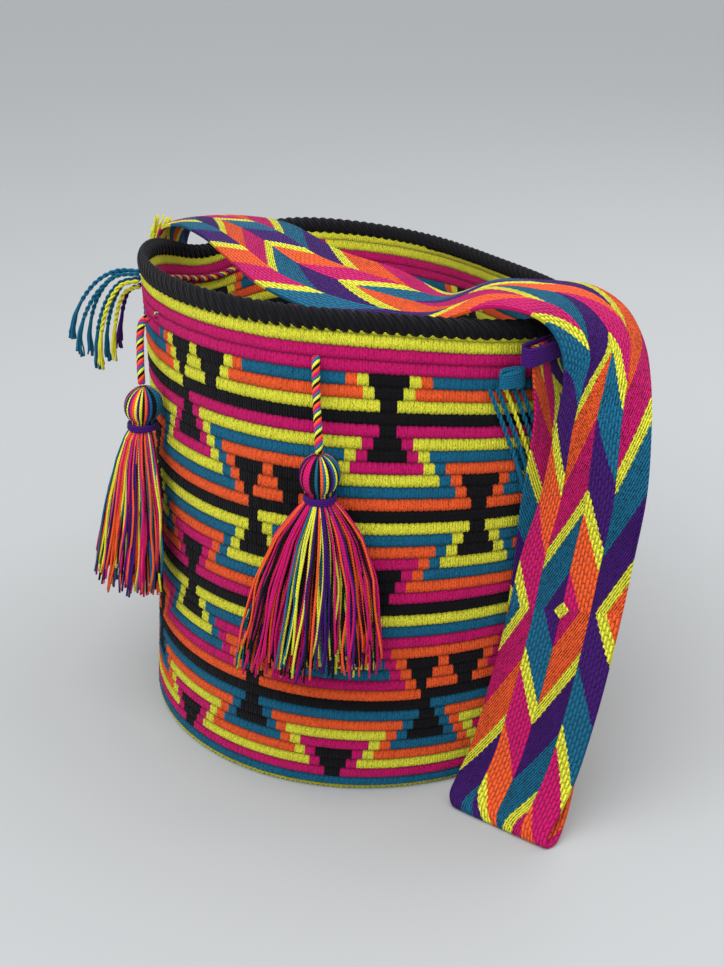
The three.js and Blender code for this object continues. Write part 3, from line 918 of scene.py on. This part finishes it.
def turned(points, angle, place):
    # turned about Z by an angle in degrees, moved to its place and taken to metres
    turn = math.radians(angle)
    x = points[:, 0] * math.cos(turn) - points[:, 1] * math.sin(turn)
    y = points[:, 0] * math.sin(turn) + points[:, 1] * math.cos(turn)
    return (np.stack([x, y, points[:, 2]], axis=1) + np.array(place)) / 1000


tie = {"radius": 8.3, "height": 5.2, "squareness": 2, "perTurn": 30}
for side, made in tassels.items():
    coil = winding(tie["radius"], tie["radius"], tie["height"], tie["squareness"], tie["perTurn"])
    level = coil[:, 2] + tassel["neck"] - tie["height"] / 2
    route = hang(made, level, coil[:, 0], coil[:, 1])
    strands = [(route, bindingYarn["tieRadius"] / 1000, "purple")]
    strandPiece(f"tasselTie_{side}", strands, spunYarn, made["bodies"][1], "binding_yarn",
                [f"tassel_tie_{side}"])

bindings = {
    "left": {"place": (-137.3, 149.6, 240.5), "turn": 59.7, "half": (19.6, 4.0), "height": 10.4},
    "right": {"place": (101, -101.4, 258), "turn": 44, "half": (17.8, 3.9), "height": 13.2},
}
bindingSquareness, bindingPerTurn = 5, 72
for side, made in bindings.items():
    coil = winding(*made["half"], made["height"], bindingSquareness, bindingPerTurn)
    route = turned(coil, made["turn"], made["place"])
    strands = [(route, bindingYarn["radius"] / 1000, "purple")]
    strandPiece(f"strapBinding_{side}", strands, spunYarn, "bag", "binding_yarn",
                [f"strap_binding_{side}"])

# direction from the bag's middle, radius, level, then the size: wide, deep and tall
wraps = {"right": (-50.2, 148.8, 247.4, (18, 8.6, 12)), "left": (163, 151.6, 246, (20, 10, 14))}
wrapLayers, wrapSquareness, wrapPerTurn = (1, 3.2), 2, 48
for side, (angle, radius, level, (wide, deep, tall)) in wraps.items():
    centre = onBag(angle, radius, level) * 1000
    further = onBag(angle, radius + 5, level) * 1000
    turn = math.degrees(math.atan2(further[1] - centre[1], further[0] - centre[0]))
    strands = []
    for inset in wrapLayers:
        coil = winding(deep / 2 - inset, wide / 2 - inset, tall, wrapSquareness, wrapPerTurn)
        coil[:, 2] -= tall / 2
        strands.append((turned(coil, turn, centre), bindingYarn["radius"] / 1000, "teal"))
    strandPiece(f"fringeWrap_{side}", strands, spunYarn, "bag", "teal_yarn", [f"fringe_wrap_{side}"])

tuft = {
    "foot": (-150.8, 137.4, 251.2), "height": 38, "leanX": 0.35, "leanY": -0.3, "strands": 34,
    "footRadius": 1.6, "spread": 5.5, "wave": 0.8, "droop": 2, "yarnRadius": 0.7,
}
strands = []
for number in range(tuft["strands"]):
    turn = dice.uniform(0, 2 * np.pi)
    out = dice.uniform(0.2, 1)
    share = np.linspace(0, 1, 9)
    tall = tuft["height"] * dice.uniform(0.62, 1.02)
    wave = tuft["wave"] * np.sin(share * dice.uniform(3, 8))
    radius = tuft["footRadius"] + (tuft["spread"] * share ** 1.2) * out + wave
    x = tuft["foot"][0] + radius * np.cos(turn) + tuft["leanX"] * tall * share
    y = tuft["foot"][1] + radius * np.sin(turn) + tuft["leanY"] * tall * share
    z = tuft["foot"][2] + tall * share - tuft["droop"] * share ** 3 * out
    strands.append((np.stack([x, y, z], axis=1) / 1000, tuft["yarnRadius"] / 1000, "lime"))
strandPiece("yarnTuft", strands, spunYarn, "bag", "lime_yarn", ["yarn_tuft_left"], 5)
print("yarn work ready")

# strap

strap = {
    "thickness": 3, "width": 0.072, "across": 26, "along": 900, "edgeThickness": 0.35, "ripple": 0.022,
    "repeat": 172, "middle": 583,  # millimetres along the strap
    "starts": (467, 547, 511, 503),  # where the pattern begins in each quarter of the width
    "rise": 36,  # how far a band climbs across a quarter
    "bands": (0, 13, 49, 86, 99, 135),  # where each colour starts in a repeat
    "evenBands": ("lime", "orange", "magenta", "lime", "teal", "purple"),
    "oddBands": ("lime", "teal", "purple", "lime", "orange", "magenta"),
    "diamond": 5.0, "threads": 9, "threadStep": 0.5,
    "ribSpacing": 3.3, "floatColumns": 32, "floatLength": 5.2,
    "paintedShade": 0.34, "depth": 0.0017, "fuzzScale": 1500.0, "fuzzDepth": 0.0005,
    # both edges in millimetres, A then B, and how far the middle bows out
    "stations": [
        (-144, 138, 243, -130, 162, 243, 0), (-146, 133, 258, -128, 163.5, 258, 0),
        (-141, 122, 277, -121, 158, 272, 2), (-126, 100, 286, -101, 148, 279, 2),
        (-106, 64, 288, -76, 112, 288, 2), (-85, 14, 287, -45, 60, 295, 1),
        (-56, -44, 283, -12, 4, 292, 1), (-12, -84, 278, 22, -24, 288, 1),
        (33, -88, 275, 52, -22, 273, 2), (68, -104, 290, 80, -40, 286, 3),
        (89, -114, 289, 106, -45, 287, 3), (101, -112, 280, 133, -50, 285, 4),
        (108, -114, 266, 149, -66, 278, 7), (109, -116, 252, 157, -88, 265, 11),
        (107, -118, 236, 157, -115, 252, 13), (104, -119, 215, 154, -140, 233, 9),
        (99, -120, 183, 150, -160, 203, 4), (89, -125, 150, 145, -165, 168, 2),
        (81, -131, 110, 137, -176, 129, 1), (71, -137, 66, 128, -183, 84, 1),
        (61, -143, 30, 117, -187, 38, 1), (53, -149, 14, 108, -193, 18, 0),
        (48.5, -156, 6.4, 102, -197.5, 8, 0), (50, -160.5, 1.9, 101, -200, 2.1, 0),
        (55.5, -157.5, 2.1, 106, -197.5, 2.3, 0), (61.5, -149, 10, 112, -190, 12, 0),
        (69, -137, 38, 120, -178, 44, 0), (79, -127, 80, 130, -161, 86, 0),
        (83, -123, 120, 140, -139, 126, 0), (86, -120, 150, 147, -117, 156, 0),
        (88, -118, 176, 151, -101, 181, 0), (92, -115, 205, 147, -89, 210, 1),
        (94.5, -113.5, 230, 131, -84, 234, 2), (93, -111, 254, 112, -93.5, 256, 0),
        (92, -109.5, 269, 109, -92.5, 270, 0),
    ],
}


def strapFinish():
    # four lengthways quarters of slanting bands; the slant turns round at the middle of the strap
    finish = Finish("strapWeave", cotton)
    run, across = finish.along()
    fromMiddle = finish.math("ABSOLUTE", run - strap["middle"])
    folded = strap["middle"] - fromMiddle
    quarter = finish.math("FLOOR", across * 3.9999)  # just under 4 keeps the far edge in the last one
    local = across * 4 - quarter
    odd = finish.math("MODULO", quarter, 2.0)
    start = 0
    for number, begin in enumerate(strap["starts"]):
        here = finish.math("COMPARE", quarter, float(number), 0.4)
        start = here * begin + start
    slant = folded - start - strap["rise"] * local * (1 - 2 * odd)
    # the edges of the bands step from one warp thread to the next
    thread = (finish.math("FLOOR", local * strap["threads"]) + 0.5) / strap["threads"]
    climb = thread * strap["threadStep"] + local * (1 - strap["threadStep"])
    stepped = folded - start - strap["rise"] * climb * (1 - 2 * odd)
    place = finish.part((stepped + strap["repeat"] * 12) / strap["repeat"])
    ramps = []
    for names in (strap["evenBands"], strap["oddBands"]):
        stops = [(at / strap["repeat"], yarns[name]) for at, name in zip(strap["bands"], names)]
        ramps.append(finish.node("ShaderNodeValToRGB", {"stops": stops}, {0: place}))
    tint = finish.mix(odd, *ramps)
    fromCentre = finish.math("ABSOLUTE", across - 0.5) * (strap["width"] * 1000)
    tint = finish.mix(fromMiddle + fromCentre < strap["diamond"], tint, yarns["lime"])
    # ribs follow the bands one way and short floats lie along the strap the other way
    after = run > float(strap["middle"])
    ribbed = finish.math("ABSOLUTE", odd - after)
    rib = finish.humps(slant / strap["ribSpacing"] * halfTurn)
    column = across * strap["floatColumns"]
    stagger = finish.math("MODULO", finish.math("FLOOR", column), 2.0) * 0.5
    floatAcross = finish.humps(column * halfTurn)
    floatAlong = finish.humps((run / strap["floatLength"] + stagger) * halfTurn)
    brick = finish.math("POWER", floatAcross, 0.6) * finish.math("POWER", floatAlong, 0.5)
    weave = rib * ribbed + brick * (1 - ribbed)
    # painted shade between the ribs and between the floats
    finish.paint(tint, (1 - weave) * strap["paintedShade"])
    finish.relief([(weave, strap["depth"]), (finish.noise(strap["fuzzScale"]), strap["fuzzDepth"])])
    return finish.material


def strapPiece():
    # a flat tube with rounded edges that follows its two edge lines
    rows = np.array(strap["stations"], dtype=float)
    fine = np.linspace(0, 1, 4000)
    middleLine = smoothRoute((rows[:, :3] + rows[:, 3:6]) / 2, fine)
    run = runLengths(middleLine)
    times = np.interp(np.linspace(0, run[-1], strap["along"] + 1), run, fine)
    edgeA, edgeB = smoothRoute(rows[:, :3], times), smoothRoute(rows[:, 3:6], times)
    bow = np.interp(times * (len(rows) - 1), np.arange(len(rows)), rows[:, 6])
    forward = np.gradient((edgeA + edgeB) / 2, axis=0)
    under = np.cross(edgeB - edgeA, forward)
    under /= np.linalg.norm(under, axis=1, keepdims=True)
    half = strap["thickness"] / 2
    flat = np.linspace(0.008, 0.992, strap["across"] + 1)
    edge = half * strap["edgeThickness"]
    crown = half * (1 - strap["edgeThickness"] * np.abs(2 * flat - 1) ** 9)
    acrossRing = np.concatenate([flat, [1.0, 1.0], flat[::-1], [0.0, 0.0]])
    upRing = np.concatenate([crown, [edge, -edge], -crown[::-1], [-edge, edge]])
    around = len(acrossRing)

    def place(column, row):
        share = acrossRing[column % around]
        wave = strap["ripple"] * np.sin(row * 1.35 + 3 * np.round(share * 4))
        lift = upRing[column % around] * (1 + wave) - bow[row] * (1 - (2 * share - 1) ** 2)
        side = (edgeB - edgeA)[row]
        return (edgeA[row] + side * share[:, None] + under[row] * lift[:, None]) / 1000

    def spread(column, row):
        return row / strap["along"] * run[-1], acrossRing[column % around]

    mesh = mappedGrid("wovenStrap", around, strap["along"], place, spread)
    piece = finished("wovenStrap", mesh, strapFinish(), "bag", "woven_strap", ["strap"])


strapPiece()
print("strap ready")

floor = {"halfSize": 9, "tint": (0.4, 0.41, 0.41, 1), "roughness": 0.8}
floorMesh = bpy.data.meshes.new("floor")
bm = bmesh.new()
bmesh.ops.create_grid(bm, x_segments=2, y_segments=2, size=floor["halfSize"])
bm.to_mesh(floorMesh)
bm.free()
floorObject = bpy.data.objects.new("floor", floorMesh)
scene.collection.objects.link(floorObject)
paleFinish = Finish("paleFloor", {"Base Color": floor["tint"], "Roughness": floor["roughness"]})
floorMesh.materials.append(paleFinish.material)
